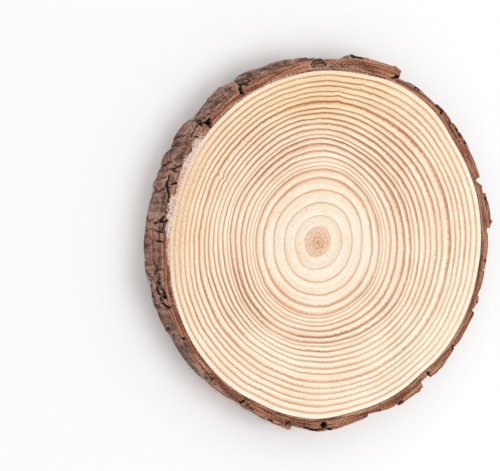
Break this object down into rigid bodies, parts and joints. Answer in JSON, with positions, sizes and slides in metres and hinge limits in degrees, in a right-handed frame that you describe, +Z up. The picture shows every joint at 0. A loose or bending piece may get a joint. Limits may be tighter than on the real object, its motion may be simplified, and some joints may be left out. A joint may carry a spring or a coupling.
{
  "type": "wood slice",
  "caption": "Round slice sawn across a pine log, with flat sanded faces and a ring of plated bark.",
  "frame": {"origin": "in the plane of the lower sawn face, under the middle of the slice's own box", "axes": "+Z up out of the upper sawn face; +X and +Y in the plane of the slice, +Y towards the thickest bark"},
  "size_m": [0.2322, 0.2376, 0.026],
  "materials": {
    "wood": "sanded end grain of pine, bare, matte",
    "bark": "natural pine bark, plated and weathered, matte"
  },
  "bodies": {
    "root": {"wood": "wood", "bark": "bark"}
  },
  "joints": []
}
